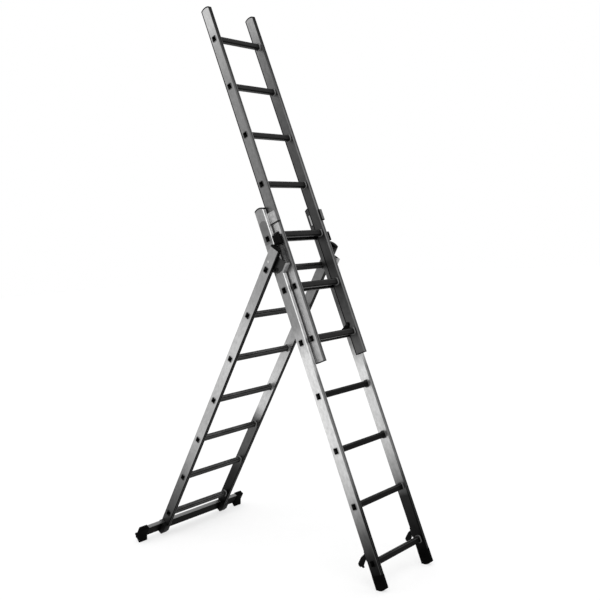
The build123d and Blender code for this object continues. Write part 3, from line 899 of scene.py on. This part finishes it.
# ---------------------------------------------------------------- bench
@dataclass
class Bench:
    """Tools that shape pieces and set them in the place of CAD nodes.

    Attributes:
        finishes: Finishes to dress the pieces in.
        smooth_angle: Edges sharper than this stay crisp, in degrees.
        merge_distance: Points closer than this are merged, in metres.
        flat_angle: Faces that meet at less than this become one face, in degrees.
    """

    finishes: Finishes
    smooth_angle: float = 32.0
    merge_distance: float = 1e-6
    flat_angle: float = 1.0

    def pick(self, *objects: bpy.types.Object) -> None:
        """Select only these objects; the last is active."""
        bpy.ops.object.select_all(action="DESELECT")
        for each in objects:
            each.select_set(True)
        bpy.context.view_layer.objects.active = objects[-1]

    def copy(self, node: str) -> bpy.types.Object:
        """Copy a CAD node's mesh as a piece with merged points and whole faces.

        Args:
            node: Name of the node.

        Returns:
            The piece.
        """
        piece = bpy.data.objects.new(f"{node}_finished", frame["nodes"][node].data.copy())
        bpy.context.scene.collection.objects.link(piece)
        self.pick(piece)
        bpy.ops.object.mode_set(mode="EDIT")
        bpy.ops.mesh.select_all(action="SELECT")
        bpy.ops.mesh.remove_doubles(threshold=self.merge_distance)
        bpy.ops.mesh.dissolve_limited(angle_limit=math.radians(self.flat_angle))
        bpy.ops.object.mode_set(mode="OBJECT")
        return piece

    def soften(self, piece: bpy.types.Object, width: float, segments: int = 3) -> None:
        """Round a piece's sharp edges.

        Args:
            piece: Piece to round.
            width: Width of the rounding in metres.
            segments: Faces across the rounding.
        """
        self.pick(piece)
        rounding = piece.modifiers.new("rounding", "BEVEL")
        rounding.width = width
        rounding.segments = segments
        rounding.limit_method = "ANGLE"
        rounding.angle_limit = math.radians(self.smooth_angle)
        bpy.ops.object.modifier_apply(modifier=rounding.name)

    def block(
        self,
        axes: SectionAxes,
        centre: tuple[float, float, float],
        size: tuple[float, float, float],
        tilt: float = 0.0,
    ) -> bpy.types.Object:
        """Add a block to cut with.

        Args:
            axes: Section whose axes give the place.
            centre: Middle of the block.
            size: Length along each axis.
            tilt: Turn about the X axis in radians.

        Returns:
            The block.
        """
        bpy.ops.object.select_all(action="DESELECT")
        bpy.ops.mesh.primitive_cube_add(size=1.0)
        block = bpy.context.object
        place = Matrix.Translation(Vector(centre)) @ Matrix.Rotation(tilt, 4, "X")
        block.matrix_world = axes.matrix() @ (place @ Matrix.Diagonal((*size, 1.0)))
        return block

    def cut(self, piece: bpy.types.Object, cutters: list[bpy.types.Object]) -> None:
        """Cut blocks out of a piece.

        Args:
            piece: Piece to cut.
            cutters: Blocks, which are used up.
        """
        if len(cutters) > 1:
            self.pick(*cutters)
            bpy.ops.object.join()
        cutter = bpy.context.view_layer.objects.active
        self.pick(piece)
        groove = piece.modifiers.new("groove", "BOOLEAN")
        groove.operation = "DIFFERENCE"
        groove.solver = "EXACT"
        groove.object = cutter
        bpy.ops.object.modifier_apply(modifier=groove.name)
        bpy.data.objects.remove(cutter)

    def settle(self, piece: bpy.types.Object, node: str, finish: Finish) -> None:
        """Dress a finished piece and let it stand for a CAD node.

        Args:
            piece: Piece to settle.
            node: CAD node that it stands for.
            finish: Finish to give it.
        """
        self.pick(piece)
        bpy.ops.object.shade_smooth_by_angle(angle=math.radians(self.smooth_angle))
        self.finishes.dress(piece, finish)
        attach(piece, BODY_OF_NODE[node])
        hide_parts(node)

    def rounded(self, node: str, finish: Finish, width: float) -> None:
        """Replace a CAD node by the same shape with rounded edges.

        Args:
            node: Name of the node.
            finish: Finish of the piece.
            width: Width of the rounding in metres.
        """
        piece = self.copy(node)
        self.soften(piece, width=width)
        self.settle(piece, node, finish)


BODIES = frame["record"]["behaviour"]["bodies"]
BODY_OF_NODE = {node: body for body, nodes in BODIES.items() for node in nodes}
BOTH_SIDES = ("left", "right")


# ---------------------------------------------------------------- sub-assemblies
@dataclass
class Section:
    """What every section has: two stiles and seven rungs.

    Attributes:
        bench: Tools to work with.
        axes: The section's axes.
        prefix: First word of the section's node names.
        stile_finish: Finish of the stiles.
        rung_finish: Finish of the rungs.
        rung_count: Number of rungs.
        cap_round: Rounding of the caps' edges.
    """

    bench: Bench
    axes: SectionAxes
    prefix: str
    stile_finish: Finish
    rung_finish: Finish
    rung_count: int = 7
    cap_round: float = 0.0012

    def dress_metal(self) -> None:
        """Dress the stiles and rungs."""
        for side in BOTH_SIDES:
            self.bench.finishes.dress(frame["nodes"][f"{self.prefix}_stile_{side}"], self.stile_finish)
        for number in range(1, self.rung_count + 1):
            self.bench.finishes.dress(frame["nodes"][f"{self.prefix}_rung_{number}"], self.rung_finish)

    def cap_stiles(self) -> None:
        """Round the edges of the caps."""
        for side in BOTH_SIDES:
            self.bench.rounded(f"{self.prefix}_top_cap_{side}", Finish.MOULDING, width=self.cap_round)


@dataclass
class FrontSection(Section):
    """Front section with its feet, guides, pads and rigid hooks.

    Attributes:
        first_rung: Height of the first rung above the soles' lowest line.
        sole_radius: Radius of a foot's sole.
        groove_count: Number of grooves across a sole.
        groove_step: Angle between grooves in degrees.
        groove_width: Width of a groove.
        groove_depth: Depth of a groove.
        grip_levels: Heights of the grip lines on the sides of a foot.
        grip_width: Width of a grip line.
        grip_length: Length of a grip line.
        foot_proud: How far a foot stands out of its stile's faces.
        foot_round: Rounding of a foot's edges.
        stile_thick: Thickness of a stile.
    """

    first_rung: float = 0.132
    sole_radius: float = 0.060
    groove_count: int = 7
    groove_step: float = 8.0
    groove_width: float = 0.0026
    groove_depth: float = 0.0028
    grip_levels: tuple[float, ...] = (0.040, 0.047, 0.054, 0.061)
    grip_width: float = 0.0018
    grip_length: float = 0.046
    foot_proud: float = 0.0005
    foot_round: float = 0.0016
    stile_thick: float = 0.024

    def build(self) -> None:
        """Build and dress every piece of the section."""
        self.dress_metal()
        self.cap_stiles()
        self.bench.rounded("front_rivets", Finish.BRIGHT_FASTENER, width=0.0008)
        self.bench.rounded("pivot_pins", Finish.DARK_FASTENER, width=0.0011)
        self.bench.rounded("guide_backing_plates", Finish.BACKING, width=0.0005)
        for side in BOTH_SIDES:
            self.foot(side)
            self.bench.rounded(f"guide_bracket_{side}", Finish.GUIDE, width=0.0009)
            self.bench.rounded(f"guide_pad_{side}", Finish.MOULDING, width=0.0015)
            self.bench.rounded(f"lower_hook_{side}", Finish.COAT, width=0.001)

    def foot(self, side: str) -> None:
        """Rubber foot with grooves across its sole and grip lines on its sides.

        Args:
            side: Side of the ladder.
        """
        node = f"front_foot_{side}"
        piece = self.bench.copy(node)
        self.bench.soften(piece, self.foot_round)
        sign = -1.0 if side == "left" else 1.0
        middle = sign * (self.axes.half_width - self.stile_thick / 2)
        cutters = []
        for index in range(self.groove_count):
            angle = math.radians(self.groove_step * (index - (self.groove_count - 1) / 2))
            centre = (
                middle,
                self.sole_radius * math.sin(angle),
                self.sole_radius * (1.0 - math.cos(angle)) - self.first_rung,
            )
            size = (2 * self.stile_thick, self.groove_width, 2 * self.groove_depth)
            cutters.append(self.bench.block(self.axes, centre, size, angle))
        for level in self.grip_levels:
            for face in (-1.0, 1.0):
                x = middle + face * (self.stile_thick / 2 + self.foot_proud)
                centre = (x, 0.0, level - self.first_rung)
                size = (self.grip_width, self.grip_length, self.grip_width)
                cutters.append(self.bench.block(self.axes, centre, size))
        self.bench.cut(piece, cutters)
        self.bench.settle(piece, node, Finish.RUBBER)


@dataclass
class RearSection(Section):
    """Rear section with its hinge plates, stops and stabiliser bar.

    Attributes:
        first_rung: Height of the first rung above the stiles' ends.
        toe: Place of the toe's round edge on a bar shoe, to the rear and up.
        heel: Place of the heel's round edge.
        edge_radius: Radius of both edges.
        shoe_groove_count: Number of grooves across a shoe's sole.
        shoe_groove_width: Width of a groove.
        shoe_groove_depth: Depth of a groove.
        shoe_length: Length of a shoe along the bar.
        shoe_round: Rounding of a shoe's edges.
    """

    first_rung: float = 0.072
    toe: tuple[float, float] = (-0.010, -0.076)
    heel: tuple[float, float] = (0.032, -0.059)
    edge_radius: float = 0.008
    shoe_groove_count: int = 5
    shoe_groove_width: float = 0.0028
    shoe_groove_depth: float = 0.0028
    shoe_length: float = 0.062
    shoe_round: float = 0.002

    def build(self) -> None:
        """Build and dress every piece of the section."""
        self.dress_metal()
        self.cap_stiles()
        self.bench.rounded("rear_rivets", Finish.BRIGHT_FASTENER, width=0.0009)
        self.bench.rounded("bar_bolts", Finish.DARK_FASTENER, width=0.0009)
        self.bench.finishes.dress(frame["nodes"]["stabiliser_bar"], Finish.BAR)
        for side in BOTH_SIDES:
            self.shoe(side)
            self.bench.rounded(f"hinge_plate_{side}", Finish.HINGE, width=0.0006)
            self.bench.rounded(f"stop_block_{side}", Finish.STOP, width=0.0016)
            self.bench.rounded(f"bar_bracket_{side}", Finish.BRACKET, width=0.0018)

    def shoe(self, side: str) -> None:
        """Rubber shoe of the bar with grooves across its slanting sole.

        Args:
            side: Side of the ladder.
        """
        node = f"bar_foot_{side}"
        piece = self.bench.copy(node)
        self.bench.soften(piece, self.shoe_round)
        low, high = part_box(node)
        run = Vector((self.heel[0] - self.toe[0], self.heel[1] - self.toe[1]))
        tilt = math.atan2(run.y, run.x)
        down = Vector((math.sin(tilt), -math.cos(tilt))) * self.edge_radius
        cutters = []
        for index in range(self.shoe_groove_count):
            share = (index + 0.5) / self.shoe_groove_count
            spot = Vector(self.toe) + run * share + down
            centre = ((low.x + high.x) / 2, spot.x, spot.y - self.first_rung)
            size = (2 * self.shoe_length, self.shoe_groove_width, 2 * self.shoe_groove_depth)
            cutters.append(self.bench.block(self.axes, centre, size, tilt))
        self.bench.cut(piece, cutters)
        self.bench.settle(piece, node, Finish.RUBBER)


@dataclass
class SlidingSection(Section):
    """Sliding section with its end plugs and swinging catches."""

    def build(self) -> None:
        """Build and dress every piece of the section and its catches."""
        self.dress_metal()
        self.cap_stiles()
        self.bench.rounded("catch_pins", Finish.DARK_FASTENER, width=0.0009)
        for side in BOTH_SIDES:
            self.bench.rounded(f"slide_end_plug_{side}", Finish.MOULDING, width=0.0008)
            self.bench.rounded(f"catch_hook_{side}", Finish.COAT, width=0.0009)


def main() -> None:
    """Build the looks and the studio."""
    logging.basicConfig(level=logging.INFO, format="%(message)s")
    lean = front_lean()
    front, sliding = section_axes("front", lean), section_axes("slide", lean)
    rear = section_axes("rear", rear_lean())
    finishes = Finishes(front, rear, sliding)
    finishes.build()
    bench = Bench(finishes)
    FrontSection(bench, front, "front", Finish.FRONT_STILE, Finish.FRONT_RUNG).build()
    RearSection(bench, rear, "rear", Finish.REAR_STILE, Finish.REAR_RUNG).build()
    SlidingSection(bench, sliding, "slide", Finish.SLIDING_STILE, Finish.SLIDING_RUNG).build()
    Studio().build()


if __name__ == "__main__":
    main()
